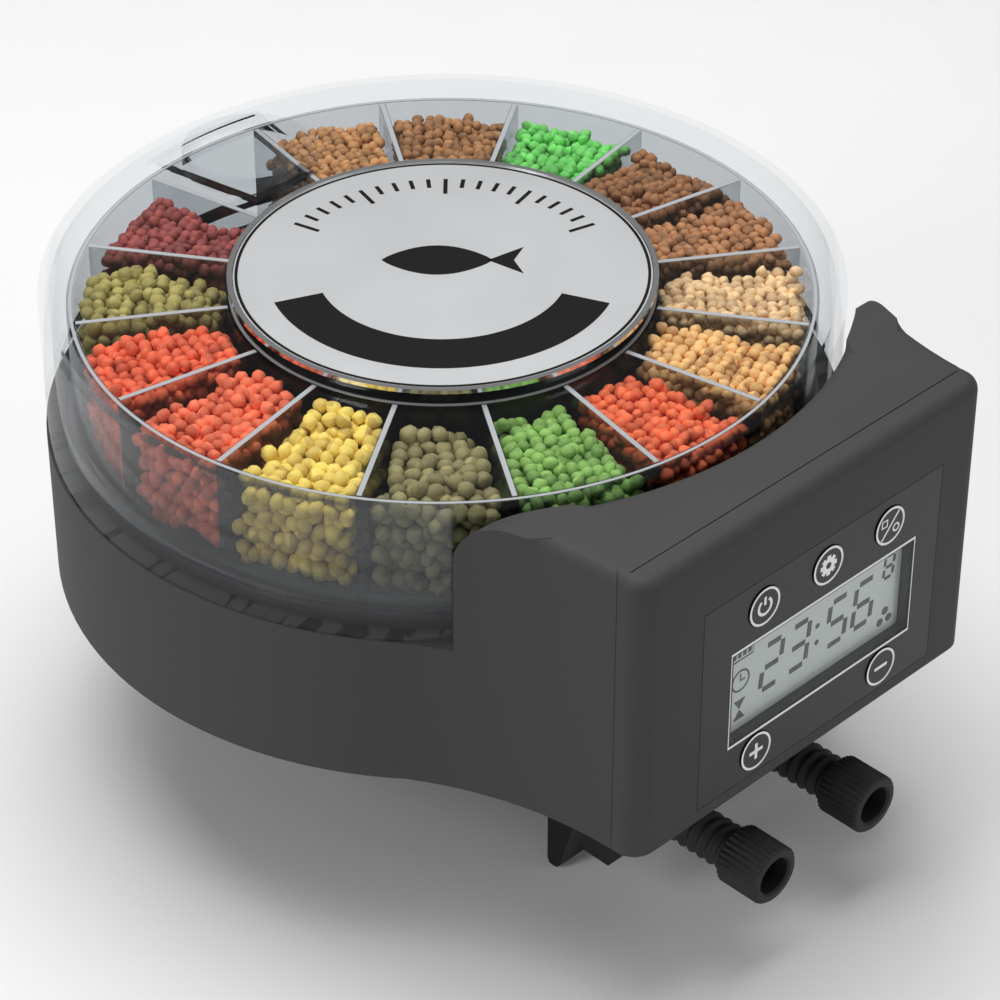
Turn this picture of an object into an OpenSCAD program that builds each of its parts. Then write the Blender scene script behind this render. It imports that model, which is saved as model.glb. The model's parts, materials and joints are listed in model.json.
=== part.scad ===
// Automatic fish feeder: a clear sixteen-cell food wheel turning over a floor
// plate, in a black housing with a control box and a two-screw rim clamp.
// Millimetres. Origin on the wheel's axis at the underside plane, +Z up,
// the display faces -Y.

/* [Drum and lid] */
// Outer radius of the clear lid
lid_r = 65; // [60:0.5:75]
// Height of the black base under the clear part
base_h = 26.7; // [26:0.1:34]
// Height of the clear lid above the base
lid_h = 24.6; // [22:0.1:34]
// Wall of the clear lid
lid_wall = 1.8; // [1.2:0.1:2.4]
// How far the black base stands proud of the lid all round
base_lip = 0.3; // [0.1:0.1:1]
// Wall of the housing
shell_wall = 2; // [1.6:0.1:2.6]

/* [Food wheel] */
// Number of food cells
cells = 16; // [12:1:16]
// Outer radius of the wheel's inner wall
hub_r = 35; // [33:0.5:37]
// Wall of the wheel
wheel_wall_t = 1.3; // [1:0.1:1.6]
// Gap between the wheel and the collar around it
wheel_gap = 1.2; // [0.8:0.1:2]
// Angle of the drop chute and of the filling hatch
chute_angle = 90; // [90:1:90]

/* [Control box] */
// Width of the front face
box_w = 77.8; // [70:0.2:86]
// Distance from the wheel's axis to the front face
box_front = 80.9; // [80:0.1:90]
// Radius of the hollow sweep from the drum into the box
flare_r = 65; // [55:1:75]
// Radius of the upright front corners
corner_r = 4; // [3:0.5:6]
// Gap between the lid and the box around it
box_gap = 1.4; // [1:0.1:2]

/* [Display and keys] */
// Width of the front overlay
panel_w = 54.3; // [50:0.1:58]
// Height of the front overlay
panel_h = 37.4; // [36:0.1:40]
// Sideways place of the overlay's centre
panel_x = 1.95; // [-3:0.05:3]
// Width of the display window
window_w = 41.2; // [34:0.1:44]
// Height of the display window
window_h = 17; // [14:0.1:18]
// Radius of a key
key_r = 3.4; // [3:0.1:3.8]
// Travel of a key
key_travel = 0.5; // [0.3:0.05:0.5]

/* [Rim clamp] */
// Clear width of the slot for the tank's glass
slot_w = 6.2; // [5:0.1:10]
// Distance between the two thumb screws
screw_pitch_x = 24; // [20:0.5:30]
// Radius of the thumb screws' thread
screw_r = 3.9; // [3:0.1:4.5]
// Radius of the thumb screws' heads
head_r = 5.1; // [4.6:0.1:7]
// Depth of the rear jaw below the underside
jaw_depth = 34.4; // [28:0.2:40]

/* [Drive] */
// Gear module
gear_m = 1; // [1:0.05:1.1]
// Teeth on the wheel's gear
wheel_teeth = 48; // [44:4:48]
// Teeth on the idler's large gear
idler_teeth = 30; // [28:2:30]
// Teeth on the small gears
pinion_teeth = 12; // [12:1:12]

/* [Hidden] */
$fn = 64;
eps = 0.01;
fit = 0.05;      // radial running clearance
gap = 0.2;       // clearance between parts that are fitted by hand

// drum
base_r = lid_r + base_lip;
inner_r = base_r - shell_wall;
ledge_r = inner_r - 7.3;
ledge_z = base_h - shell_wall;
collar_in_r = lid_r - 3.2;
collar_h = 4.7;
collar_top = base_h + collar_h;
lip_h = 2.6;
deck_r = collar_in_r - gap;
deck_t = 2.6;
deck_z = base_h + deck_t;
wheel_r = collar_in_r - wheel_gap;
wheel_z = deck_z + 0.3;
lid_top = base_h + lid_h;
lid_t = 1.6;
wheel_top = lid_top - lid_t - 0.7;
divider_t = 1.2;
cell_pitch = 360 / cells;

// control box
half_w = box_w / 2;
box_top = lid_top + 0.1;
recess_r = lid_r + box_gap;
wing_dir = 42.2;
blend = 0.25;
corner_blend = 0.1;
flare_x = half_w + flare_r;
flare_y = -sqrt(pow(base_r + flare_r - blend, 2) - flare_x * flare_x);
wing_y = -recess_r * cos(wing_dir);
wing_round = 8;

// front panel: the overlay, its window and its keys
face_y = -box_front;
wall_in_y = face_y + shell_wall;
overlay_t = 0.4;
panel_z = 20.9;
window_x = panel_x + 0.45;
window_z = 19.55;
key_row_z = 34.4;
low_key_z = 6.6;
key_pitch = 14.4;
key_x0 = window_x - key_pitch;
low_key_x = 14.7;
key_gap = 0.12;
flange_r = key_r + 0.7;
flange_t = 0.6;
key_proud = 0.2;
board_y = wall_in_y + 3;
board_t = 1.6;
lcd_t = 2.8;
board_w = 60;
board_z0 = 3;
board_z1 = 39;
post_r = 2.4;
KEYS = [[key_x0, key_row_z], [key_x0 + key_pitch, key_row_z], [key_x0 + 2 * key_pitch, key_row_z],
    [window_x - low_key_x, low_key_z], [window_x + low_key_x, low_key_z]];
BOARD_POSTS = [for (x = [-1, 1]) for (z = [board_z0 + 3, board_z1 - 3])
    [panel_x + x * (board_w / 2 - 3), z]];

// floor chute, in its own frame with +X pointing outwards
chute_in = hub_r + 3;
chute_out = wheel_r - 3.6;
chute_a = 9;
chute_wall = 1.2;

// hatch in the lid
hatch_in = hub_r + 2.6;
hatch_out = wheel_r - 1.6;
hatch_a = 10.8;
rim_t = 1.1;
rim_h = 1;
plug_inset = 1.6;
ring_r = 11.3;
ring_wall = 1;
ring_h = 2.7;
ring_at = (hatch_in + hatch_out) / 2 - 1.6;
hatch_t = rim_h + 0.2;

// label
bezel_r = hub_r - 0.25;
bezel_w = 0.9;
bezel_h = 0.7;

// gear train
spindle_r = 3;
gear_t = 2.4;
gear_z = ledge_z - 0.7 - gear_t;
idler_t = 1.8;
chassis_t = 1.7;
chassis_top = gear_z - idler_t - 0.8;
chassis_z = chassis_top - chassis_t;
idler_dir = -60;
idler_d = gear_m * (wheel_teeth + pinion_teeth) / 2;
idler_x = idler_d * cos(idler_dir);
idler_y = idler_d * sin(idler_dir);
motor_dir = 0;
motor_d = gear_m * (idler_teeth + pinion_teeth) / 2;
motor_x = idler_x + motor_d * cos(motor_dir);
motor_y = idler_y + motor_d * sin(motor_dir);
motor_can_r = 14;
can_x = motor_x - 6.5;
can_y = motor_y - 4.7;
ear_dir = 36;
ear_d = 17.5;
ear_t = 0.9;
shaft_r = 2;
pin_r = 1.5;
MOTOR_EARS = [for (s = [-1, 1]) [can_x + s * ear_d * cos(ear_dir), can_y + s * ear_d * sin(ear_dir)]];
DECK_POSTS = [[-6, -31], [48, -10], [24, -47]];
CHASSIS = [[-8, 8], [8, 8], [53, -6], [55, -20], [44, -40], [26, -53], [8, -48], [-11, -36], [-11, -27]];
deck_post_r = 2.6;

// screws
self_tap_r = 1.25;
tap_head_r = 2.4;
tap_head_t = 1.2;
screw_sink = 0.2;
DECK_SCREWS = [45, 135, 225, 315];
deck_screw_r = (ledge_r + collar_in_r) / 2 - 0.4;
boss_r = 3.5;
drum_boss_r = inner_r - boss_r + 0.7;
DRUM_BOSSES = [for (a = [8, 120, 205]) [drum_boss_r * cos(a), drum_boss_r * sin(a)]];
box_boss_x = half_w - 3.7;
box_boss_y = face_y + 14.9;
BOX_BOSSES = [[-box_boss_x, box_boss_y], [box_boss_x, box_boss_y]];
box_boss_h = 16;
cover_t = 2;
cover_inset = shell_wall + 0.15;

// batteries lie along Y in a bay open to the underside
cell_r = 7.1;
cell_l = 49;
bay_x0 = -42;
bay_x1 = -13;
bay_y = 27.4;
bay_wall = 1.2;
bay_top = 17;
door_t = 1.6;
door_step = 1;
CELL_X = [bay_x0 + cell_r + 0.15, bay_x1 - cell_r - 0.15];

// clamp
lug_y1 = face_y + 24.9;
lug_t = 5.6;
lug_y0 = lug_y1 - lug_t;
lug_half = 24;
lug_depth = 21.9;
jaw_face_y = lug_y1 + slot_w;
jaw_half = 20;
jaw_root_t = 5.6;
jaw_tip_t = 2.6;
plate_t = 2.4;
plate_half = 29.6;
can_z = cover_t + plate_t + 0.4;
pan_wall = 1.2;
screw_z = -16.2;
head_l = 8.4;
head_y = face_y - 5.3;
pad_r = 4.7;
pad_t = 1.8;
pad_y = lug_y1 - pad_t - 0.1;
tip_r = 1.6;
BRACKET_SCREWS = [for (x = [-1, 1]) for (y = [lug_y0 + 2.5, jaw_face_y + 3]) [x * (plate_half - 2.8), y]];

// ---- shared shapes ----

// Flat outline of the whole underside, drawn in by d.
module footprint(d) {
    circle(r = base_r - d, $fn = 128);
    box_outline(d);
}

// Flat outline of the control box and its two sweeps, drawn in by d.
module box_outline(d) {
    tx = flare_x * (base_r - 4) / (base_r + flare_r);
    ty = flare_y * (base_r - 4) / (base_r + flare_r);
    side = half_w - d;
    front = face_y + d;
    r = corner_r - d;
    cy = front + r;
    corner_x = side - r + corner_blend;
    difference() {
        union() {
            polygon([[-tx - 6, ty], [tx + 6, ty], [side + 2, cy + 1], [-side - 2, cy + 1]]);
            translate([-corner_x, front]) square([2 * corner_x, r + 2]);
            for (s = [-1, 1]) translate([s * corner_x, cy]) circle(r = r);
        }
        for (s = [-1, 1]) translate([s * flare_x, flare_y]) circle(r = flare_r + d, $fn = 256);
    }
}

// Flat ring sector about +X, from radius a to b, half angle h.
module sector(a, b, h) {
    far = b * 1.3;
    intersection() {
        difference() {
            circle(r = b, $fn = 128);
            circle(r = a, $fn = 96);
        }
        polygon([[0, 0], [far, -far * tan(h)], [far, far * tan(h)]]);
    }
}

// Flat sector with straight sides kept the same distance t inside another.
module inner_sector(a, b, h, t) {
    far = b * 1.3;
    x0 = t / sin(h);
    intersection() {
        difference() {
            circle(r = b - t, $fn = 128);
            circle(r = a + t, $fn = 96);
        }
        polygon([[x0, 0], [far, -(far - x0) * tan(h)], [far, (far - x0) * tan(h)]]);
    }
}

module tube(ro, ri, h) {
    difference() {
        cylinder(r = ro, h = h, $fn = 128);
        translate([0, 0, -1]) cylinder(r = ri, h = h + 2, $fn = 128);
    }
}

module at_all(points) for (p = points) translate([p[0], p[1], 0]) children();

// A self-tapping screw, head down at z = 0, shaft pointing up.
module tap_screw(l) {
    difference() {
        union() {
            cylinder(r = tap_head_r, h = tap_head_t);
            translate([0, 0, tap_head_t]) cylinder(r = self_tap_r, h = l);
        }
        for (a = [0, 90]) rotate(a) translate([-1.4, -0.3, -eps]) cube([2.8, 0.6, 0.7]);
    }
}

function involute(rb, t) = rb * sqrt(1 + t * t);
function inv_angle(t) = t * 180 / PI - atan(t);

// Flat spur gear with a tooth centred on +X.
module gear(teeth, bore) {
    rp = gear_m * teeth / 2;
    rb = rp * cos(20);
    ra = rp + 0.75 * gear_m;
    rr = rp - 1.1 * gear_m;
    tp = tan(20);
    backlash = 0.11;
    half = 90 / teeth - backlash / rp * 180 / PI + inv_angle(tp);
    ta = sqrt(ra * ra / (rb * rb) - 1);
    ts = rr > rb ? sqrt(rr * rr / (rb * rb) - 1) : 0;
    flank = [for (i = [0 : 4]) let (t = ts + (ta - ts) * i / 4) [involute(rb, t), half - inv_angle(t)]];
    foot = rr < rb ? [[rr, half]] : [];
    side = concat(foot, flank);
    n = len(side);
    tooth = concat([for (p = side) [p[0], -p[1]]], [for (i = [0 : n - 1]) side[n - 1 - i]]);
    difference() {
        polygon([for (k = [0 : teeth - 1]) for (p = tooth)
            p[0] * [cos(p[1] + k * 360 / teeth), sin(p[1] + k * 360 / teeth)]]);
        if (bore > 0) circle(r = bore);
    }
}

// ---- housing and covers ----

module chute_place() rotate(chute_angle) children();

module chute_hole(t) {
    chute_place() translate([0, 0, -1]) linear_extrude(base_h + 40)
        inner_sector(chute_in, chute_out, chute_a, t);
}

module housing() {
    color("#1c1c1d") difference() {
        union() {
            difference() {
                housing_outer();
                housing_hollow();
            }
            drum_bosses();
        }
        translate([0, 0, ledge_z - 1]) cylinder(r = ledge_r, h = shell_wall + 2, $fn = 128);
        chute_place() translate([chute_in - 3, -13, ledge_z - 1])
            cube([chute_out - chute_in + 5.2, 26, shell_wall + 2]);
        at_all(DRUM_BOSSES) translate([0, 0, -1]) cylinder(r = self_tap_r + fit, h = 14);
        at_all(BOX_BOSSES) translate([0, 0, -1]) cylinder(r = self_tap_r + fit, h = 14);
        for (a = DECK_SCREWS) rotate(a) translate([deck_screw_r, 0, ledge_z - 1])
            cylinder(r = self_tap_r + fit, h = shell_wall + 2);
        front_cuts();
        board_pilots();
    }
}

module housing_outer() {
    linear_extrude(base_h) footprint(0);
    translate([0, 0, base_h - 1]) difference() {
        linear_extrude(box_top - base_h + 1) difference() {
            box_outline(0);
            circle(r = recess_r, $fn = 128);
            translate([-100, wing_y]) square([200, 100]);
        }
        wing_rounding();
    }
}

// Rounds the upper corner of each wing of the box.
module wing_rounding() {
    z = box_top - base_h + 1 - wing_round;
    difference() {
        translate([-80, wing_y - wing_round, z]) cube([160, wing_round + 10, wing_round + 10]);
        translate([-80, wing_y - wing_round, z]) rotate([0, 90, 0])
            cylinder(r = wing_round, h = 160, $fn = 96);
    }
}

module housing_hollow() {
    translate([0, 0, -1]) linear_extrude(ledge_z + 1) footprint(shell_wall);
    translate([0, 0, ledge_z - 1]) linear_extrude(box_top - shell_wall - ledge_z + 1) difference() {
        box_outline(shell_wall);
        circle(r = recess_r + shell_wall, $fn = 128);
        translate([-100, wing_y - shell_wall - wing_round]) square([200, 100]);
    }
}

module drum_bosses() {
    at_all(DRUM_BOSSES) translate([0, 0, cover_t]) cylinder(r = boss_r, h = ledge_z - cover_t + 0.5);
    at_all(BOX_BOSSES) translate([0, 0, cover_t]) cylinder(r = boss_r, h = box_boss_h);
    for (p = BOARD_POSTS) translate([p[0], wall_in_y - 0.5, p[1]]) rotate([-90, 0, 0])
        cylinder(r = post_r, h = board_y - wall_in_y + 0.5);
}

module board_pilots() {
    for (p = BOARD_POSTS) translate([p[0], board_y - 2.6, p[1]]) rotate([-90, 0, 0])
        cylinder(r = self_tap_r + fit, h = 5);
}

module front_cuts() {
    translate([panel_x - panel_w / 2 - 0.1, face_y - 1, panel_z - panel_h / 2 - 0.1])
        cube([panel_w + 0.2, 1 + overlay_t, panel_h + 0.2]);
    translate([window_x - window_w / 2 - 0.1, face_y - 1, window_z - window_h / 2 - 0.1])
        cube([window_w + 0.2, shell_wall + 2, window_h + 0.2]);
    for (k = KEYS) translate([k[0], face_y - 1, k[1]]) rotate([-90, 0, 0])
        cylinder(r = key_r + key_gap, h = shell_wall + 2);
}

module bottom_cover() {
    color("#232324") difference() {
        union() {
            linear_extrude(cover_t) footprint(cover_inset);
            translate([bay_x0 - bay_wall, -bay_y - bay_wall, cover_t - eps])
                cube([bay_x1 - bay_x0 + 2 * bay_wall, 2 * (bay_y + bay_wall), bay_top +
                    bay_wall - cover_t]);
            plate_block(gap + pan_wall, plate_t + cover_t);
        }
        translate([0, 0, -1]) plate_block(gap, plate_t + 1);
        translate([bay_x0, -bay_y, -1]) cube([bay_x1 - bay_x0, 2 * bay_y, bay_top + 1]);
        translate([bay_x0 - door_step, -bay_y - door_step, -1])
            cube([bay_x1 - bay_x0 + 2 * door_step, 2 * (bay_y + door_step), door_t + 1 + fit]);
        chute_hole(-gap);
        at_all(concat(DRUM_BOSSES, BOX_BOSSES)) cover_screw_hole(cover_t);
        at_all(BRACKET_SCREWS) cylinder(r = self_tap_r + fit, h = 20);
        at_all(DRUM_BOSSES) translate([0, 0, cover_t]) cylinder(r = boss_r + gap, h = 30);
    }
}

// A stepped hole from the underside through a plate of thickness t.
module cover_screw_hole(t) {
    translate([0, 0, -1]) cylinder(r = self_tap_r + gap, h = t + 2);
    translate([0, 0, -1]) cylinder(r = tap_head_r + gap, h = tap_head_t + 1 + screw_sink);
}

module battery_door() {
    side = door_step - gap;
    color("#232324") difference() {
        union() {
            translate([bay_x0 - side, -bay_y - side, 0])
                cube([bay_x1 - bay_x0 + 2 * side, 2 * (bay_y + side), door_t]);
            translate([bay_x0 + gap, -bay_y + gap, door_t - eps])
                cube([bay_x1 - bay_x0 - 2 * gap, 2 * (bay_y - gap), 0.6]);
        }
        for (i = [-2 : 2]) translate([(bay_x0 + bay_x1) / 2 - 6, bay_y - 7 + 1.8 * i, -eps])
            cube([12, 0.8, 0.5]);
    }
}

module feed_deck() {
    color("#2a2a2b") difference() {
        union() {
            translate([0, 0, base_h]) cylinder(r = deck_r, h = deck_t, $fn = 128);
            at_all(DECK_POSTS) translate([0, 0, chassis_top])
                cylinder(r = deck_post_r, h = base_h - chassis_top + 0.5);
        }
        chute_hole(chute_wall);
        translate([0, 0, base_h - 1]) cylinder(r = 5, h = deck_t + 2);
        at_all(DECK_POSTS) translate([0, 0, chassis_top - 1]) cylinder(r = self_tap_r + fit, h = 6);
        for (a = DECK_SCREWS) rotate(a) translate([deck_screw_r, 0, base_h - 1])
            cylinder(r = self_tap_r + fit, h = 2.8);
    }
}

module drop_chute() {
    color("#2a2a2b") chute_place() difference() {
        linear_extrude(base_h) inner_sector(chute_in, chute_out, chute_a, 0);
        translate([0, 0, -1]) linear_extrude(base_h + 2)
            inner_sector(chute_in, chute_out, chute_a, chute_wall);
    }
}

module lid_collar() {
    color([0.85, 0.88, 0.9, 0.5]) {
        translate([0, 0, base_h]) tube(lid_r, collar_in_r, collar_h);
        translate([0, 0, collar_top - eps]) tube(lid_r - lid_wall - gap, collar_in_r, lip_h);
    }
}

// ---- food wheel and its drive ----

module wheel_hub() {
    color([0.85, 0.88, 0.9, 0.5]) difference() {
        union() {
            translate([0, 0, wheel_z]) tube(hub_r, hub_r - wheel_wall_t, wheel_top - wheel_z);
            translate([0, 0, wheel_z]) cylinder(r = hub_r - 0.5, h = 1.6, $fn = 128);
            translate([0, 0, wheel_z]) cylinder(r = 8, h = 7);
        }
        translate([0, 0, wheel_z - 1]) cylinder(r = 5.2 + fit, h = 1 + 5.7, $fn = 6);
    }
}

module wheel_dividers() {
    color([0.85, 0.88, 0.9, 0.5]) for (k = [0 : cells - 1]) rotate((k + 0.5) * cell_pitch)
        translate([0, 0, wheel_z]) linear_extrude(wheel_top - wheel_z) intersection() {
            difference() {
                circle(r = wheel_r - wheel_wall_t, $fn = 128);
                circle(r = hub_r, $fn = 128);
            }
            translate([0, -divider_t / 2]) square([lid_r, divider_t]);
        }
}

module wheel_wall() {
    color([0.85, 0.88, 0.9, 0.5]) translate([0, 0, wheel_z])
        tube(wheel_r, wheel_r - wheel_wall_t, wheel_top - wheel_z);
}

module drive_spindle() {
    color("#d8d4c8") {
        translate([0, 0, chassis_z - 4]) cylinder(r = spindle_r, h = wheel_z - chassis_z + 4);
        translate([0, 0, wheel_z]) cylinder(r = 5.2, h = 5.5, $fn = 6);
    }
}

module spindle_gear() {
    color("#e8e4d8") difference() {
        union() {
            translate([0, 0, gear_z]) linear_extrude(gear_t) rotate(idler_dir) gear(wheel_teeth, 0);
            translate([0, 0, gear_z - 1.4]) cylinder(r = 5, h = 1.4 + eps);
        }
        translate([0, 0, gear_z - 2]) cylinder(r = spindle_r, h = gear_t + 3);
        for (a = [0 : 60 : 300]) rotate(a + 30) translate([15, 0, gear_z - 1])
            cylinder(r = 4.5, h = gear_t + 2);
    }
}

module spindle_clip() {
    color("silver") translate([0, 0, chassis_z - 3.4]) difference() {
        tube(4.6, spindle_r, 0.6);
        translate([0, -1.5, -1]) cube([8, 3, 3]);
    }
}

module spindle_bush() {
    color("#c9a45a") translate([0, 0, base_h]) tube(5, spindle_r + fit, deck_t);
}

module lower_bush() {
    color("#c9a45a") translate([0, 0, chassis_z - 2.6]) tube(5, spindle_r + fit, chassis_t + 2.6);
}

module gear_chassis() {
    color("#3a3a3c") difference() {
        translate([0, 0, chassis_z]) linear_extrude(chassis_t) polygon(CHASSIS);
        translate([0, 0, chassis_z - 1]) cylinder(r = 5, h = chassis_t + 2);
        translate([idler_x, idler_y, chassis_z - 1]) cylinder(r = pin_r, h = chassis_t + 2);
        translate([motor_x, motor_y, chassis_z - 1]) cylinder(r = 4.5 + gap, h = chassis_t + 2);
        at_all(DECK_POSTS) translate([0, 0, chassis_z - 1])
            cylinder(r = self_tap_r + gap, h = chassis_t + 2);
        at_all(MOTOR_EARS) translate([0, 0, chassis_z - 1])
            cylinder(r = self_tap_r + fit, h = chassis_t + 2);
    }
}

module idler_pin() {
    color("silver") translate([idler_x, idler_y, chassis_z])
        cylinder(r = pin_r, h = gear_z + gear_t - chassis_z);
}

module idler_gear() {
    color("#e8e4d8") translate([idler_x, idler_y, 0]) difference() {
        union() {
            translate([0, 0, chassis_top + 0.4]) linear_extrude(idler_t) rotate(motor_dir)
                gear(idler_teeth, 0);
            translate([0, 0, chassis_top + 0.4 + idler_t - eps])
                linear_extrude(gear_z + gear_t - chassis_top - 0.4 - idler_t)
                rotate(idler_dir + 180 + 180 / pinion_teeth) gear(pinion_teeth, 0);
        }
        translate([0, 0, chassis_top]) cylinder(r = pin_r + fit, h = 10);
    }
}

module motor_case() {
    color("#b9bcc0") difference() {
        union() {
            translate([can_x, can_y, can_z]) cylinder(r = motor_can_r, h = chassis_z - can_z);
            at_all(MOTOR_EARS) translate([0, 0, chassis_z - ear_t]) cylinder(r = 3.4, h = ear_t);
            translate([can_x, can_y, chassis_z - ear_t]) rotate(ear_dir)
                translate([-ear_d, -3.4, 0]) cube([2 * ear_d, 6.8, ear_t]);
            translate([motor_x, motor_y, chassis_z - 1]) cylinder(r = 4.5, h = 2.2);
        }
        translate([motor_x, motor_y, can_z + 4]) cylinder(r = shaft_r + fit, h = 30);
        at_all(MOTOR_EARS) translate([0, 0, chassis_z - ear_t - 1]) cylinder(r = self_tap_r + gap, h = 3);
    }
}

module motor_shaft() {
    color("silver") translate([motor_x, motor_y, can_z + 4.2])
        cylinder(r = shaft_r, h = chassis_top + 0.4 + idler_t + 0.2 - can_z - 4.2);
}

module motor_pinion() {
    color("#e8e4d8") translate([motor_x, motor_y, chassis_top + 0.2]) linear_extrude(idler_t + 0.4)
        rotate(motor_dir + 180 + 180 / pinion_teeth) gear(pinion_teeth, shaft_r);
}

// ---- lid, label and hatch ----

module hatch_place() rotate(chute_angle) children();

module lid() {
    color([0.85, 0.88, 0.9, 0.5]) difference() {
        union() {
            translate([0, 0, lid_top - lid_t]) cylinder(r = lid_r - lid_wall, h = lid_t, $fn = 128);
            hatch_place() translate([0, 0, lid_top - eps]) linear_extrude(rim_h)
                inner_sector(hatch_in, hatch_out, hatch_a, -rim_t);
        }
        hatch_place() translate([0, 0, lid_top - lid_t - 1]) linear_extrude(10)
            inner_sector(hatch_in, hatch_out, hatch_a, plug_inset);
        hatch_place() translate([0, 0, lid_top]) linear_extrude(10)
            inner_sector(hatch_in, hatch_out, hatch_a, 0);
    }
}

module lid_skirt() {
    color([0.85, 0.88, 0.9, 0.5]) translate([0, 0, collar_top])
        tube(lid_r, lid_r - lid_wall, lid_top - collar_top);
}

module label_plate() {
    color("#b4b5b7") translate([0, 0, lid_top]) cylinder(r = bezel_r - bezel_w - 0.1, h = 0.5, $fn = 128);
}

module label_bezel() {
    color("#d0d2d4") translate([0, 0, lid_top]) tube(bezel_r, bezel_r - bezel_w, bezel_h);
}

module hatch_cover() {
    color([0.85, 0.88, 0.9, 0.5]) hatch_place() {
        translate([0, 0, lid_top]) linear_extrude(hatch_t) inner_sector(hatch_in, hatch_out, hatch_a, 0.15);
        translate([0, 0, lid_top - lid_t]) linear_extrude(lid_t + eps)
            inner_sector(hatch_in, hatch_out, hatch_a, plug_inset + 0.15);
    }
}

module pull_ring() {
    color([0.85, 0.88, 0.9, 0.5]) hatch_place() translate([ring_at, 0, lid_top + hatch_t])
        tube(ring_r, ring_r - ring_wall, ring_h);
}

// ---- display, keys and board ----

module front_overlay() {
    color("#2b2b2d") difference() {
        translate([panel_x - panel_w / 2, face_y, panel_z - panel_h / 2])
            cube([panel_w, overlay_t, panel_h]);
        translate([window_x - window_w / 2 - 0.1, face_y - 1, window_z - window_h / 2 - 0.1])
            cube([window_w + 0.2, 3, window_h + 0.2]);
        for (k = KEYS) translate([k[0], face_y - 1, k[1]]) rotate([-90, 0, 0])
            cylinder(r = key_r + key_gap, h = 3);
    }
}

module display_window() {
    color([0.75, 0.78, 0.76, 0.5]) translate([window_x - window_w / 2, face_y, window_z - window_h / 2])
        cube([window_w, 1.5, window_h]);
}

module lcd_module() {
    z0 = low_key_z + flange_r + gap;
    color("#a9b0a6") translate([window_x - window_w / 2 - 2, wall_in_y, z0])
        cube([window_w + 4, lcd_t, window_z + window_h / 2 + 1 - z0]);
}

module circuit_board() {
    color("#1f6b3a") difference() {
        translate([panel_x - board_w / 2, board_y, board_z0]) cube([board_w, board_t, board_z1 - board_z0]);
        for (p = BOARD_POSTS) translate([p[0], board_y - 1, p[1]]) rotate([-90, 0, 0])
            cylinder(r = self_tap_r + gap, h = board_t + 2);
    }
}

module control_chip() {
    color("#151515") translate([panel_x - 4, board_y + board_t, 18]) cube([9, 1.2, 9]);
}

module tact_switches() {
    top_y = wall_in_y + flange_t + key_travel + 0.05;
    color("#8d8f92") for (k = KEYS) {
        translate([k[0] - 2.2, board_y - 1.3, k[1] - 2.2]) cube([4.4, 1.3, 4.4]);
        translate([k[0], top_y, k[1]]) rotate([-90, 0, 0]) cylinder(r = 1, h = board_y - 1.3 - top_y + eps);
    }
}

module key(i) {
    color("#2b2b2d") translate([KEYS[i][0], 0, KEYS[i][1]]) rotate([-90, 0, 0]) {
        translate([0, 0, face_y - key_proud]) cylinder(r = key_r, h = shell_wall + key_proud + eps);
        translate([0, 0, wall_in_y]) cylinder(r = flange_r, h = flange_t);
    }
}

module power_key() key(0);
module set_key() key(1);
module feed_key() key(2);
module plus_key() key(3);
module minus_key() key(4);

// ---- batteries ----

module along_y() rotate([-90, 0, 0]) children();

module batteries() {
    color("#c2752e") for (i = [0, 1]) translate([CELL_X[i], 0, cover_t + 0.5 + cell_r]) rotate(180 * i) {
        translate([0, -bay_y + 3.2, 0]) along_y() cylinder(r = cell_r, h = cell_l);
        translate([0, -bay_y + 3.2 + cell_l - eps, 0]) along_y() cylinder(r = 2.7, h = 1.1);
    }
}

module battery_springs() {
    color("silver") for (i = [0, 1]) translate([CELL_X[i], 0, cover_t + 0.5 + cell_r]) rotate(180 * i)
        translate([0, -bay_y + 0.55, 0]) along_y()
        linear_extrude(2.5, twist = -720, slices = 32, $fn = 6) translate([3.6, 0])
            circle(r = 0.45, $fn = 6);
}

module battery_contacts() {
    color("silver") for (s = [-1, 1]) for (i = [0, 1])
        translate([CELL_X[i] - 4.5, s * (bay_y - 0.25) - 0.25, cover_t + 3.6]) cube([9, 0.5, 8]);
}

// ---- rim clamp ----

module clamp_bracket() {
    root_y = jaw_face_y + jaw_root_t;
    tip_y = root_y - jaw_tip_t - 0.4;
    color("#1a1a1b") difference() {
        union() {
            plate_block(0, plate_t);
            translate([-lug_half, lug_y0, -lug_depth]) cube([2 * lug_half, lug_t, lug_depth + 1]);
            translate([-jaw_half, 0, 0]) rotate([90, 0, 90]) linear_extrude(2 * jaw_half) polygon([
                [jaw_face_y, 1], [jaw_face_y, -jaw_depth + 10.5], [tip_y, -jaw_depth + 1],
                [tip_y + 1, -jaw_depth], [root_y - 0.5, -jaw_depth], [root_y, -jaw_depth + 1],
                    [root_y, 1]]);
        }
        for (s = [-1, 1]) translate([s * screw_pitch_x / 2, lug_y0 - 1, screw_z]) {
            along_y() cylinder(r = screw_r + fit, h = lug_t + 2);
            translate([0, 1 + lug_t - pad_t - 0.2, 0]) along_y() cylinder(r = pad_r + 0.3, h = 5);
        }
        at_all(BRACKET_SCREWS) cover_screw_hole(plate_t);
    }
}

// The bracket's plate, grown by d on its sides and t thick, from the underside up.
module plate_block(d, t) {
    translate([-plate_half - d, lug_y0 - 1 - d, 0])
        cube([2 * (plate_half + d), jaw_face_y + jaw_root_t - lug_y0 + 2 + 2 * d, t]);
}

module pad() {
    difference() {
        along_y() cylinder(r = pad_r, h = pad_t);
        translate([0, -1, 0]) along_y() cylinder(r = tip_r + fit, h = 2.2);
    }
}

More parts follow.
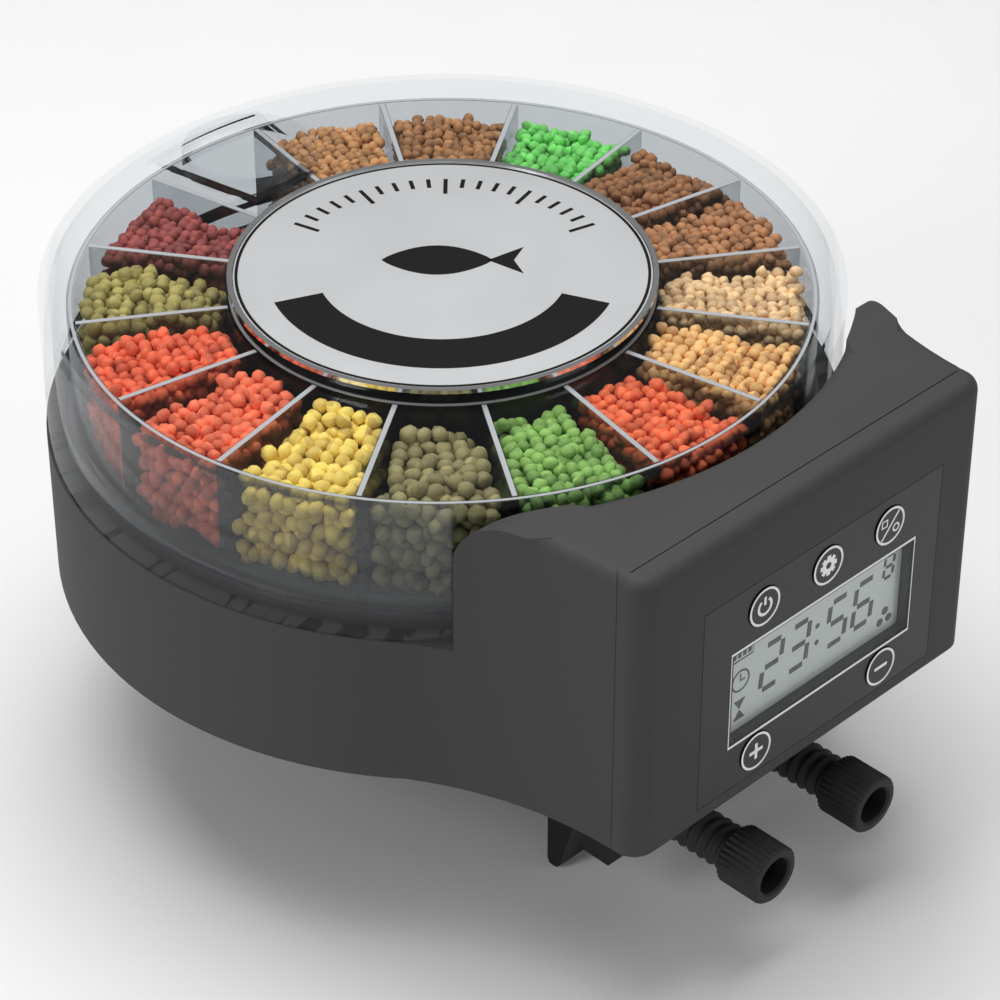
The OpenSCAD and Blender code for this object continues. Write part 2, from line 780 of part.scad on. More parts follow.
module clamp_screw() {
    tip_end = pad_y + 1.1;
    difference() {
        union() {
            translate([0, head_y, 0]) along_y() cylinder(r = head_r, h = head_l, $fn = 96);
            translate([0, head_y + head_l - eps, 0]) along_y()
                cylinder(r = screw_r, h = pad_y - 0.2 - head_y - head_l);
            translate([0, pad_y - 1, 0]) along_y() cylinder(r = tip_r, h = tip_end - pad_y + 1);
        }
        translate([0, head_y - 1, 0]) along_y() cylinder(r = 3.2, h = 7);
    }
}

module left_pad() color("#3c3c3e") translate([-screw_pitch_x / 2, pad_y, screw_z]) pad();
module right_pad() color("#3c3c3e") translate([screw_pitch_x / 2, pad_y, screw_z]) pad();
module left_screw() color("#111112") translate([-screw_pitch_x / 2, 0, screw_z]) clamp_screw();
module right_screw() color("#111112") translate([screw_pitch_x / 2, 0, screw_z]) clamp_screw();

// ---- screws ----

module bracket_screws() {
    color("silver") at_all(BRACKET_SCREWS) translate([0, 0, screw_sink])
        tap_screw(plate_t + cover_t - tap_head_t - screw_sink);
}

module cover_screws() {
    color("silver") at_all(concat(DRUM_BOSSES, BOX_BOSSES)) translate([0, 0, screw_sink]) tap_screw(8);
}

module deck_screws() {
    color("silver") for (a = DECK_SCREWS) rotate(a) translate([deck_screw_r, 0, ledge_z - tap_head_t])
        tap_screw(shell_wall + 1.6);
}

module chassis_screws() {
    color("silver") at_all(DECK_POSTS) translate([0, 0, chassis_z - tap_head_t]) tap_screw(chassis_t + 4);
}

module motor_screws() {
    color("silver") at_all(MOTOR_EARS) translate([0, 0, chassis_z - ear_t - tap_head_t])
        tap_screw(ear_t + chassis_t);
}

module board_screws() {
    color("silver") for (p = BOARD_POSTS) translate([p[0], board_y + board_t + tap_head_t, p[1]])
        rotate([90, 0, 0]) tap_screw(board_t + 2.2);
}

housing();
bottom_cover();
battery_door();
feed_deck();
drop_chute();
lid_collar();
wheel_hub();
wheel_dividers();
wheel_wall();
drive_spindle();
spindle_gear();
spindle_clip();
spindle_bush();
lower_bush();
gear_chassis();
idler_pin();
idler_gear();
motor_case();
motor_shaft();
motor_pinion();
lid();
lid_skirt();
label_plate();
label_bezel();
hatch_cover();
pull_ring();
front_overlay();
display_window();
lcd_module();
circuit_board();
control_chip();
tact_switches();
power_key();
set_key();
feed_key();
plus_key();
minus_key();
batteries();
battery_springs();
battery_contacts();
clamp_bracket();
left_pad();
left_screw();
right_pad();
right_screw();
bracket_screws();
cover_screws();
deck_screws();
chassis_screws();
motor_screws();
board_screws();
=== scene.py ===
"""Looks of the automatic fish feeder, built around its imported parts. Metres, +Z up, the display faces -Y."""

import json
import math
import random

import bmesh
import bpy
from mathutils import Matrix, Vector


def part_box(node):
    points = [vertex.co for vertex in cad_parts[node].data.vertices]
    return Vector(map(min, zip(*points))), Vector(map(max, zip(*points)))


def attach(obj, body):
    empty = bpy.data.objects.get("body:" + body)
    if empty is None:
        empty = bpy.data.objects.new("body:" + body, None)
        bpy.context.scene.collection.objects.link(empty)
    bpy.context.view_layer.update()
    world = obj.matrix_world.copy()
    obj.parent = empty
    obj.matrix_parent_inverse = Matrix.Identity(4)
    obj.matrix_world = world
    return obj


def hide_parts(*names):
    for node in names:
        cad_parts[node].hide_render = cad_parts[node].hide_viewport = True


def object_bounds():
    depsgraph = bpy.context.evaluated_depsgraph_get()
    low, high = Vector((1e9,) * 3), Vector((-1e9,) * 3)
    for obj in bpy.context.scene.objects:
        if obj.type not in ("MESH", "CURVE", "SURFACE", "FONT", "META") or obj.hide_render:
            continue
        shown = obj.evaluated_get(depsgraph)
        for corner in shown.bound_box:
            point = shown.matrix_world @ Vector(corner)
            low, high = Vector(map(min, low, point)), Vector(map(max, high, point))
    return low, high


bl_info = {
    "name": "Fish Feeder Looks",
    "version": (1, 0, 0),
    "blender": (4, 5, 0),
    "location": "View3D > Sidebar > Feeder",
    "description": "Builds the visible pieces and finishes of an automatic fish feeder",
    "category": "Object",
}

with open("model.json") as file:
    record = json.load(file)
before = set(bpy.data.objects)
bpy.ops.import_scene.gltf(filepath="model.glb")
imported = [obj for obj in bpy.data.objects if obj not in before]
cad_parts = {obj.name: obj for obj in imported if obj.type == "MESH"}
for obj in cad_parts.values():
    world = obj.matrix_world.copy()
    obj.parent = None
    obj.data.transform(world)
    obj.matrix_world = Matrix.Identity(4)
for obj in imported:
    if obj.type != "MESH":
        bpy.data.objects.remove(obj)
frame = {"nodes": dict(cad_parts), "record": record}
first_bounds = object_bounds()
MM = 0.001
BLACK_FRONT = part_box("front_overlay")[0].y
LABEL_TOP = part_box("label_plate")[1].z
LABEL_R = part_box("label_plate")[1].x
WHEEL_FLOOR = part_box("wheel_wall")[0].z
WHEEL_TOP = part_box("wheel_wall")[1].z
WHEEL_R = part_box("wheel_wall")[1].x
HUB_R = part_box("wheel_hub")[1].x
WHEEL_WALL_T = 1.3 * MM
HALF_DIVIDER_T = 0.6 * MM
CELLS = 16
CELL_DEG = 360 / CELLS
LABEL_DEG = -45
PILE_SEED, PELLET_SEED = 700, 40
LUMPINESS = 0.95 * MM
WINDOW_LO, WINDOW_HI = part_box("display_window")
KEY_SIGNS = {
    "power_key": "power", "set_key": "cog", "feed_key": "split",
    "plus_key": "plus", "minus_key": "minus",
}

# cell number, counted from +X: the food's colour and its pellets' radius in mm.
# The cell over the chute is empty.
FOODS = {
    0: ((0.306, 0.135, 0.05), 1.09), 1: ((0.162, 0.612, 0.126), 1.09), 2: ((0.36, 0.171, 0.063), 1.09),
    3: ((0.486, 0.243, 0.09), 1.09), 5: ((0.306, 0.063, 0.054), 1.14), 6: ((0.36, 0.306, 0.09), 1.38),
    7: ((0.85, 0.135, 0.054), 1.23), 8: ((0.85, 0.162, 0.072), 1.28), 9: ((0.85, 0.594, 0.126), 1.42),
    10: ((0.288, 0.252, 0.108), 1.52), 11: ((0.234, 0.432, 0.099), 1.28), 12: ((0.85, 0.153, 0.054), 1.19),
    13: ((0.85, 0.468, 0.18), 1.14), 14: ((0.81, 0.54, 0.288), 1.14), 15: ((0.432, 0.198, 0.081), 1.09),
}


class FeederSizes(bpy.types.PropertyGroup):
    """Sizes that a user may change."""

    edge_round: bpy.props.FloatProperty(
        name="Edge round", description="Round along the box's top edges", default=2.2 * MM, unit="LENGTH")
    fill_drop: bpy.props.FloatProperty(
        name="Fill drop", description="How far the food lies below the dividers' tops",
        default=0.4 * MM, unit="LENGTH")
    knurls: bpy.props.IntProperty(
        name="Knurls", description="Ridges around a thumb screw's head", default=32, min=12)
    thread_pitch: bpy.props.FloatProperty(
        name="Thread pitch", description="Pitch of the thumb screws' thread", default=2 * MM, unit="LENGTH")
    print_height: bpy.props.FloatProperty(
        name="Print height", description="Thickness of printed marks", default=0.04 * MM, unit="LENGTH")


class FeederColours(bpy.types.PropertyGroup):
    """Colours that a user may change."""

    shell: bpy.props.FloatVectorProperty(
        name="Shell", description="Moulded body", subtype="COLOR", default=(0.0025, 0.0025, 0.0028))
    silver: bpy.props.FloatVectorProperty(
        name="Silver", description="Label plate", subtype="COLOR", default=(0.58, 0.59, 0.60))
    ink: bpy.props.FloatVectorProperty(
        name="Ink", description="Display figures", subtype="COLOR", default=(0.02, 0.023, 0.022))


# ---- materials ----


def _new_material(name):
    mat = bpy.data.materials.new(name)
    mat.use_nodes = True
    tree = mat.node_tree
    shader = tree.nodes["Principled BSDF"]
    coord = tree.nodes.new("ShaderNodeTexCoord")
    return mat, tree, shader, coord.outputs["Object"]


def _noise(tree, where, scale, detail=4.0):
    noise = tree.nodes.new("ShaderNodeTexNoise")
    noise.inputs["Scale"].default_value = scale
    noise.inputs["Detail"].default_value = detail
    tree.links.new(where, noise.inputs["Vector"])
    return noise.outputs["Fac"]


def _ramp(tree, fac, low, high):
    ramp = tree.nodes.new("ShaderNodeMapRange")
    tree.links.new(fac, ramp.inputs["Value"])
    ramp.inputs["To Min"].default_value = low
    ramp.inputs["To Max"].default_value = high
    return ramp.outputs["Result"]


def _tint(tree, fac, colour, spread):
    mix = tree.nodes.new("ShaderNodeMix")
    mix.data_type = "RGBA"
    tree.links.new(fac, mix.inputs["Factor"])
    mix.inputs["A"].default_value = (*[c * (1 - spread) for c in colour], 1)
    mix.inputs["B"].default_value = (*[min(c * (1 + spread), 1) for c in colour], 1)
    return mix.outputs["Result"]


def _bump(tree, height, distance, shader, strength=0.5):
    bump = tree.nodes.new("ShaderNodeBump")
    bump.inputs["Distance"].default_value = distance
    bump.inputs["Strength"].default_value = strength
    tree.links.new(height, bump.inputs["Height"])
    tree.links.new(bump.outputs["Normal"], shader.inputs["Normal"])


def moulded(name, colour, rough, grain=900.0, depth=0.03 * MM, spread=0.12, metal=0.0, coat=0.0, gloss=0.5):
    """Moulded, plated or rubbed surface with a fine grain and uneven gloss."""
    mat, tree, shader, where = _new_material(name)
    broad = _noise(tree, where, 45.0, 3.0)
    tree.links.new(_tint(tree, broad, colour, spread), shader.inputs["Base Color"])
    tree.links.new(_ramp(tree, broad, rough - 0.05, rough + 0.06), shader.inputs["Roughness"])
    _bump(tree, _noise(tree, where, grain, 6.0), depth, shader)
    shader.inputs["Metallic"].default_value = metal
    shader.inputs["Coat Weight"].default_value = coat
    shader.inputs["Specular IOR Level"].default_value = gloss
    return mat


def clear_plastic(name, tint, rough, low=0.02, high=0.5):
    """Thin clear plastic: mostly see-through, glossier at a glance, with faint smears."""
    mat, tree, shader, where = _new_material(name)
    mat.use_transparent_shadow = True
    smear = _noise(tree, where, 60.0, 3.0)
    tree.links.new(_ramp(tree, smear, rough, rough + 0.05), shader.inputs["Roughness"])
    shader.inputs["Base Color"].default_value = (0.95, 0.96, 0.97, 1)
    shader.inputs["Metallic"].default_value = 1.0
    through = tree.nodes.new("ShaderNodeBsdfTransparent")
    through.inputs["Color"].default_value = (*tint, 1)
    facing = tree.nodes.new("ShaderNodeLayerWeight")
    facing.inputs["Blend"].default_value = 0.5
    curve = tree.nodes.new("ShaderNodeMath")
    curve.operation = "POWER"
    curve.inputs[1].default_value = 4.5
    tree.links.new(facing.outputs["Facing"], curve.inputs[0])
    mix = tree.nodes.new("ShaderNodeMixShader")
    tree.links.new(_ramp(tree, curve.outputs[0], low, high), mix.inputs["Fac"])
    tree.links.new(through.outputs["BSDF"], mix.inputs[1])
    tree.links.new(shader.outputs["BSDF"], mix.inputs[2])
    tree.links.new(mix.outputs["Shader"], tree.nodes["Material Output"].inputs["Surface"])
    return mat


def pellet_food(name, colour, size):
    """Rough extruded food, each lump a little different in shade."""
    mat, tree, shader, where = _new_material(name)
    lumps = tree.nodes.new("ShaderNodeTexVoronoi")
    lumps.inputs["Scale"].default_value = 0.5 / size
    tree.links.new(where, lumps.inputs["Vector"])
    shade = tree.nodes.new("ShaderNodeSeparateColor")
    tree.links.new(lumps.outputs["Color"], shade.inputs["Color"])
    tree.links.new(_tint(tree, shade.outputs["Red"], colour, 0.3), shader.inputs["Base Color"])
    fine = _noise(tree, where, 1800.0, 5.0)
    tree.links.new(_ramp(tree, fine, 0.6, 0.85), shader.inputs["Roughness"])
    _bump(tree, fine, 0.18 * MM, shader, 0.8)
    return mat


def slot_finishes(colours):
    shell, silver = tuple(colours.shell), tuple(colours.silver)
    return {
        "housing_black": moulded("housing_black", shell, 0.33, 1400.0, 0.01 * MM, gloss=0.08),
        "cover_black": moulded("cover_black", (0.014, 0.014, 0.015), 0.48, 1100.0, 0.04 * MM),
        "deck_black": moulded("deck_black", (0.05, 0.05, 0.052), 0.4),
        "clear_lid": clear_plastic("clear_lid", (0.975, 0.98, 0.985), 0.03, 0.015, 0.32),
        "clear_wheel": clear_plastic("clear_wheel", (0.80, 0.815, 0.825), 0.12, 0.03, 0.4),
        "label_silver": moulded("label_silver", silver, 0.36, 2500.0, 0.01 * MM, 0.04, 0.55),
        "bezel_chrome": moulded("bezel_chrome", (0.75, 0.76, 0.77), 0.12, 800.0, 0.005 * MM, 0.03, 1.0),
        "overlay_black": moulded(
            "overlay_black", (0.006, 0.006, 0.0065), 0.30, 2400.0, 0.008 * MM, gloss=0.35),
        "window_clear": clear_plastic("window_clear", (0.95, 0.97, 0.96), 0.04),
        "lcd_grey": moulded("lcd_grey", (0.62, 0.63, 0.625), 0.35, 3000.0, 0.004 * MM, 0.04),
        "board_green": moulded("board_green", (0.02, 0.13, 0.045), 0.35),
        "chip_black": moulded("chip_black", (0.012, 0.012, 0.012), 0.5),
        "switch_steel": moulded("switch_steel", (0.5, 0.5, 0.51), 0.32, 700.0, 0.01 * MM, 0.05, 1.0),
        "key_black": moulded("key_black", (0.005, 0.005, 0.0055), 0.3, 2000.0, 0.008 * MM, gloss=0.35),
        "cell_wrap": moulded("cell_wrap", (0.42, 0.16, 0.05), 0.25),
        "spring_steel": moulded("spring_steel", (0.6, 0.6, 0.6), 0.25, 900.0, 0.01 * MM, 0.05, 1.0),
        "gear_nylon": moulded("gear_nylon", (0.74, 0.71, 0.62), 0.42),
        "bush_brass": moulded("bush_brass", (0.62, 0.42, 0.16), 0.38, 900.0, 0.02 * MM, 0.08, 1.0),
        "chassis_grey": moulded("chassis_grey", (0.04, 0.04, 0.043), 0.45),
        "motor_steel": moulded("motor_steel", (0.55, 0.56, 0.58), 0.33, 500.0, 0.02 * MM, 0.06, 1.0),
        "shaft_steel": moulded("shaft_steel", (0.6, 0.6, 0.62), 0.22, 900.0, 0.01 * MM, 0.04, 1.0),
        "clamp_black": moulded("clamp_black", (0.004, 0.004, 0.004), 0.36, 1200.0, 0.02 * MM, gloss=0.3),
        "pad_rubber": moulded("pad_rubber", (0.03, 0.03, 0.03), 0.75, 900.0, 0.06 * MM),
        "screw_black": moulded("screw_black", (0.004, 0.004, 0.004), 0.36, 1300.0, 0.02 * MM, gloss=0.3),
        "screw_steel": moulded("screw_steel", (0.55, 0.55, 0.56), 0.3, 700.0, 0.01 * MM, 0.05, 1.0),
        # painted highlight: this pale grey, on the bars along the wheel's top edges, stands in for light
        # caught by the clear edges
        "painted_highlight_edge": moulded("painted_highlight_edge", (0.45, 0.46, 0.47), 0.25, 900.0, 0.01 * MM, 0.1),
        "print_white": moulded("print_white", (0.88, 0.88, 0.88), 0.5, 2500.0, 0.004 * MM, 0.04),
        "print_black": moulded(
            "print_black", (0.003, 0.003, 0.003), 0.4, 2500.0, 0.004 * MM, 0.04, gloss=0.15),
        "lcd_ink": moulded("lcd_ink", tuple(colours.ink), 0.45, 2500.0, 0.002 * MM, 0.04),
    }


def finish_named(name):
    if name not in bpy.data.materials:
        slot_finishes(bpy.context.scene.feeder_colours)
    return bpy.data.materials[name]


# ---- mesh helpers ----


def piece_from(name, bm, material, body):
    """Turns a bmesh into a finished piece that rides on a body."""
    bmesh.ops.recalc_face_normals(bm, faces=bm.faces)
    mesh = bpy.data.meshes.new(name)
    bm.to_mesh(mesh)
    bm.free()
    mesh.materials.append(finish_named(material))
    obj = bpy.data.objects.new(name, mesh)
    bpy.context.scene.collection.objects.link(obj)
    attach(obj, body)
    return obj


def band(bm, place, path, width, height, closed=False):
    """A flat strip of the given width along a path, as a closed bar that stands height proud."""
    n = len(path)
    rows = []
    for i, (u, v) in enumerate(path):
        before = path[i - 1] if (closed or i) else path[0]
        after = path[(i + 1) % n] if (closed or i < n - 1) else path[-1]
        du, dv = after[0] - before[0], after[1] - before[1]
        long = math.hypot(du, dv) or 1.0
        nu, nv = -dv / long * width / 2, du / long * width / 2
        rows.append([bm.verts.new(place(u + s * nu, v + s * nv, h))
                     for s, h in ((1, 0), (-1, 0), (-1, height), (1, height))])
    for i in range(n if closed else n - 1):
        a, b = rows[i], rows[(i + 1) % n]
        for k in range(4):
            bm.faces.new((a[k], a[(k + 1) % 4], b[(k + 1) % 4], b[k]))
    if not closed:
        bm.faces.new(rows[0])
        bm.faces.new(rows[-1])


def patch(bm, place, outline, height):
    """A flat filled shape that stands height proud."""
    low = [bm.verts.new(place(u, v, 0)) for u, v in outline]
    high = [bm.verts.new(place(u, v, height)) for u, v in outline]
    bm.faces.new(low)
    bm.faces.new(high)
    for i in range(len(outline)):
        j = (i + 1) % len(outline)
        bm.faces.new((low[i], low[j], high[j], high[i]))


def arc(cu, cv, r, start, end, steps=48):
    return [(cu + r * math.cos(math.radians(start + (end - start) * i / steps)),
             cv + r * math.sin(math.radians(start + (end - start) * i / steps))) for i in range(steps + 1)]


def ring_path(cu, cv, r, steps=64):
    return arc(cu, cv, r, 0, 360, steps)[:-1]


def rectangle(u0, v0, u1, v1):
    return [(u0, v0), (u1, v0), (u1, v1), (u0, v1)]


def on_front(y):
    """Places a flat drawing on an upright plane that faces -Y, growing towards the viewer."""
    return lambda u, v, h: Vector((u, y - h, v))


def rounded_copy(node, name, chosen, width, material, body):
    """A merged copy of a moulded part with the chosen sharp edges rounded. It stands for the part."""
    source = frame["nodes"][node].data
    plain = bpy.data.meshes.new(name + "_plain")
    plain.from_pydata([v.co[:] for v in source.vertices], [], [p.vertices[:] for p in source.polygons])
    bm = bmesh.new()
    bm.from_mesh(plain)
    bpy.data.meshes.remove(plain)
    bmesh.ops.remove_doubles(bm, verts=bm.verts, dist=0.002 * MM)
    bmesh.ops.dissolve_limit(bm, angle_limit=math.radians(0.5), verts=bm.verts, edges=bm.edges)
    sharp = [e for e in bm.edges if len(e.link_faces) == 2
             and e.calc_face_angle(0) > math.radians(35) and chosen(e)]
    if not sharp:
        raise RuntimeError("no edges to round on " + node)
    bmesh.ops.bevel(
        bm, geom=sharp, offset=width, segments=5, profile=0.5, affect="EDGES", clamp_overlap=False)
    bmesh.ops.triangulate(bm, faces=[f for f in bm.faces if len(f.verts) > 4])
    mesh = bpy.data.meshes.new(name)
    bm.to_mesh(mesh)
    bm.free()
    mesh.materials.append(finish_named(material))
    mesh.shade_smooth()
    mesh.set_sharp_from_angle(angle=math.radians(32))
    obj = bpy.data.objects.new(name, mesh)
    bpy.context.scene.collection.objects.link(obj)
    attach(obj, body)
    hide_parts(node)
    return obj


# ---- operators ----


class FEEDER_OT_finishes(bpy.types.Operator):
    """Give every carried-over part the finish of its material slot."""

    bl_idname = "feeder.finishes"
    bl_label = "Part finishes"

    def execute(self, context):
        finishes = slot_finishes(context.scene.feeder_colours)
        for part in frame["record"]["subparts"]:
            mesh = frame["nodes"][part["node"]].data
            mesh.materials.clear()
            mesh.materials.append(finishes[part["material_slot"]])
        return {"FINISHED"}


class FEEDER_OT_housing(bpy.types.Operator):
    """Make the housing with rounded top edges."""

    bl_idname = "feeder.housing"
    bl_label = "Housing shell"

    def execute(self, context):
        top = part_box("housing")[1].z
        box_back_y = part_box("clamp_bracket")[1].y - 14 * MM

        def upper_edge(edge):
            return all(v.co.z > top - 0.05 * MM and v.co.y < box_back_y for v in edge.verts)

        rounded_copy("housing", "housing_shell", upper_edge, context.scene.feeder_sizes.edge_round,
                     "housing_black", "base")
        return {"FINISHED"}


def pellet_tree():
    """Puts a lumpy pellet on every point of the pile."""
    tree = bpy.data.node_groups.new("pellet_pile", "GeometryNodeTree")
    face = tree.interface
    face.new_socket("Points", in_out="INPUT", socket_type="NodeSocketGeometry")
    sockets = {name: face.new_socket(name, in_out="INPUT", socket_type=kind) for name, kind in (
        ("Pellet Radius", "NodeSocketFloat"), ("Lumpiness", "NodeSocketFloat"),
        ("Seed", "NodeSocketInt"), ("Food", "NodeSocketMaterial"))}
    face.new_socket("Pile", in_out="OUTPUT", socket_type="NodeSocketGeometry")
    node, link = tree.nodes.new, tree.links.new
    given, result = node("NodeGroupInput"), node("NodeGroupOutput")
    ball = node("GeometryNodeMeshIcoSphere")
    ball.inputs["Subdivisions"].default_value = 2
    link(given.outputs["Pellet Radius"], ball.inputs["Radius"])
    turn = node("FunctionNodeRandomValue")
    turn.data_type = "FLOAT_VECTOR"
    turn.inputs["Max"].default_value = (math.tau, math.tau, math.tau)
    link(given.outputs["Seed"], turn.inputs["Seed"])
    grow = node("FunctionNodeRandomValue")
    grow.data_type = "FLOAT_VECTOR"
    grow.inputs["Min"].default_value = (0.8, 0.8, 0.75)
    grow.inputs["Max"].default_value = (1.08, 1.08, 1.0)
    link(given.outputs["Seed"], grow.inputs["Seed"])
    spread = node("GeometryNodeInstanceOnPoints")
    link(given.outputs["Points"], spread.inputs["Points"])
    link(ball.outputs["Mesh"], spread.inputs["Instance"])
    link(turn.outputs["Value"], spread.inputs["Rotation"])
    link(grow.outputs["Value"], spread.inputs["Scale"])
    real = node("GeometryNodeRealizeInstances")
    link(spread.outputs["Instances"], real.inputs["Geometry"])
    rough = node("ShaderNodeTexNoise")
    rough.inputs["Scale"].default_value = 900.0
    centred = node("ShaderNodeVectorMath")
    centred.operation = "SUBTRACT"
    centred.inputs[1].default_value = (0.5, 0.5, 0.5)
    link(rough.outputs["Color"], centred.inputs[0])
    scaled = node("ShaderNodeVectorMath")
    scaled.operation = "SCALE"
    link(centred.outputs["Vector"], scaled.inputs[0])
    link(given.outputs["Lumpiness"], scaled.inputs["Scale"])
    shift = node("GeometryNodeSetPosition")
    link(real.outputs["Geometry"], shift.inputs["Geometry"])
    link(scaled.outputs["Vector"], shift.inputs["Offset"])
    smooth = node("GeometryNodeSetShadeSmooth")
    link(shift.outputs["Geometry"], smooth.inputs["Geometry"])
    paint = node("GeometryNodeSetMaterial")
    link(smooth.outputs["Geometry"], paint.inputs["Geometry"])
    link(given.outputs["Food"], paint.inputs["Material"])
    link(paint.outputs["Geometry"], result.inputs["Pile"])
    return tree, {name: s.identifier for name, s in sockets.items()}


def pile_points(cell, radius, drop):
    """Places in one cell that hold a pellet that can be seen: on top and against its four walls."""
    rng = random.Random(PILE_SEED + cell)
    step = radius * 1.58
    middle = math.radians(CELL_DEG * cell)
    half = math.radians(CELL_DEG / 2)
    inner, outer = HUB_R + radius, WHEEL_R - WHEEL_WALL_T - radius
    keep_in = HALF_DIVIDER_T + radius
    points = []
    layer, z = 0, WHEEL_FLOOR + radius * 1.1
    while z < WHEEL_TOP:
        u = HUB_R * 0.9 + (layer % 2) * step / 2
        while u < WHEEL_R:
            v = -WHEEL_R * 0.24 + (layer % 2) * step / 2
            while v < WHEEL_R * 0.24:
                x, y = u + rng.uniform(-0.2, 0.2) * step, v + rng.uniform(-0.2, 0.2) * step
                h = z + rng.uniform(-0.16, 0.16) * step
                r = math.hypot(x, y)
                side = x * math.sin(half) - abs(y) * math.cos(half)
                surface = (WHEEL_TOP - drop - radius - 0.06 * (r - HUB_R)
                           + 0.5 * radius * math.sin(310 * x + 190 * y + cell))
                inside = inner < r < outer and side > keep_in and h < surface
                seen = (h > surface - 2.4 * step or r > outer - 1.5 * step
                        or r < inner + step or side < keep_in + step)
                if inside and seen:
                    points.append((x * math.cos(middle) - y * math.sin(middle),
                                   x * math.sin(middle) + y * math.cos(middle), h))
                v += step
            u += step
        z += step * 0.8
        layer += 1
    return points


class FEEDER_OT_food(bpy.types.Operator):
    """Fill the cells with pellets, all but the one over the chute."""

    bl_idname = "feeder.food"
    bl_label = "Food"

    def execute(self, context):
        tree, ids = pellet_tree()
        for cell, (colour, radius) in FOODS.items():
            mesh = bpy.data.meshes.new("food_seed_%02d" % cell)
            mesh.from_pydata(pile_points(cell, radius * MM, context.scene.feeder_sizes.fill_drop), [], [])
            pile = bpy.data.objects.new("food_pile_%02d" % cell, mesh)
            context.scene.collection.objects.link(pile)
            grow = pile.modifiers.new("pellets", "NODES")
            grow.node_group = tree
            grow[ids["Pellet Radius"]] = radius * MM
            grow[ids["Lumpiness"]] = LUMPINESS
            grow[ids["Seed"]] = PELLET_SEED + cell
            grow[ids["Food"]] = pellet_food("food_%02d" % cell, colour, radius * MM)
            graph = context.evaluated_depsgraph_get()
            grown = bpy.data.meshes.new_from_object(pile.evaluated_get(graph), depsgraph=graph)
            pile.modifiers.clear()
            pile.data = grown
            if not grown.polygons:
                raise RuntimeError("food pile %d is empty" % cell)
            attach(pile, "feed_wheel")
        return {"FINISHED"}


class FEEDER_OT_wheel_edge_highlights(bpy.types.Operator):
    """Make pale grey bars along the top edges of the wheel's dividers and walls: painted highlights that stand
    in for the light those clear edges catch.
    """

    bl_idname = "feeder.wheel_edges"
    bl_label = "Wheel edges"

    def execute(self, context):
        rise = 3 * context.scene.feeder_sizes.print_height

        def place(u, v, h):
            return Vector((u, v, WHEEL_TOP + h))

        bm = bmesh.new()
        # opaque grey bars on the dividers and rims: painted highlights, not the plastic's own edges
        for cell in range(CELLS):
            a = math.radians(CELL_DEG * cell + CELL_DEG / 2)
            ends = [(r * math.cos(a), r * math.sin(a)) for r in (HUB_R, WHEEL_R - WHEEL_WALL_T)]
            band(bm, place, ends, 0.8 * MM, rise)
        band(bm, place, ring_path(0, 0, WHEEL_R - 0.65 * MM, 192), 0.5 * MM, rise, True)
        band(bm, place, ring_path(0, 0, HUB_R - 0.65 * MM, 128), 0.5 * MM, rise, True)
        piece_from("wheel_edges", bm, "painted_highlight_edge", "feed_wheel")
        return {"FINISHED"}


class FEEDER_OT_label(bpy.types.Operator):
    """Decorate the label plate with a plain band, ticks and a fish shape. It has no lettering."""

    bl_idname = "feeder.label"
    bl_label = "Label print"

    def execute(self, context):
        rise, turn = context.scene.feeder_sizes.print_height, math.radians(LABEL_DEG)

        def place(u, v, h):
            return Vector((u * math.cos(turn) - v * math.sin(turn),
                           u * math.sin(turn) + v * math.cos(turn), LABEL_TOP + h))

        bm = bmesh.new()
        band(bm, place, ring_path(0, 0, LABEL_R - 0.5 * MM, 128), 0.5 * MM, rise, True)
        band(bm, place, arc(0, 0, 0.72 * LABEL_R, 200, 340, 80), 0.24 * LABEL_R, rise)
        for k in range(21):
            a = math.radians(30 + 6 * k)
            inner = 0.76 * LABEL_R if k % 5 else 0.70 * LABEL_R
            tick = [(inner * math.cos(a), inner * math.sin(a)),
                    (0.84 * LABEL_R * math.cos(a), 0.84 * LABEL_R * math.sin(a))]
            band(bm, place, tick, 0.7 * MM, rise)
        top = [(-9 + 18 * i / 20, 4.4 * math.sin(math.pi * i / 20) ** 0.8) for i in range(21)]
        body = [(u * MM - 1 * MM, (v + 3) * MM) for u, v in top + [(u, -v) for u, v in reversed(top[1:-1])]]
        patch(bm, place, body, rise)
        tail = [(7.2 * MM, 3 * MM), (13 * MM, 7 * MM), (11.4 * MM, 3 * MM), (13 * MM, -1 * MM)]
        patch(bm, place, tail, rise)
        piece_from("label_print", bm, "print_black", "lid")
        return {"FINISHED"}


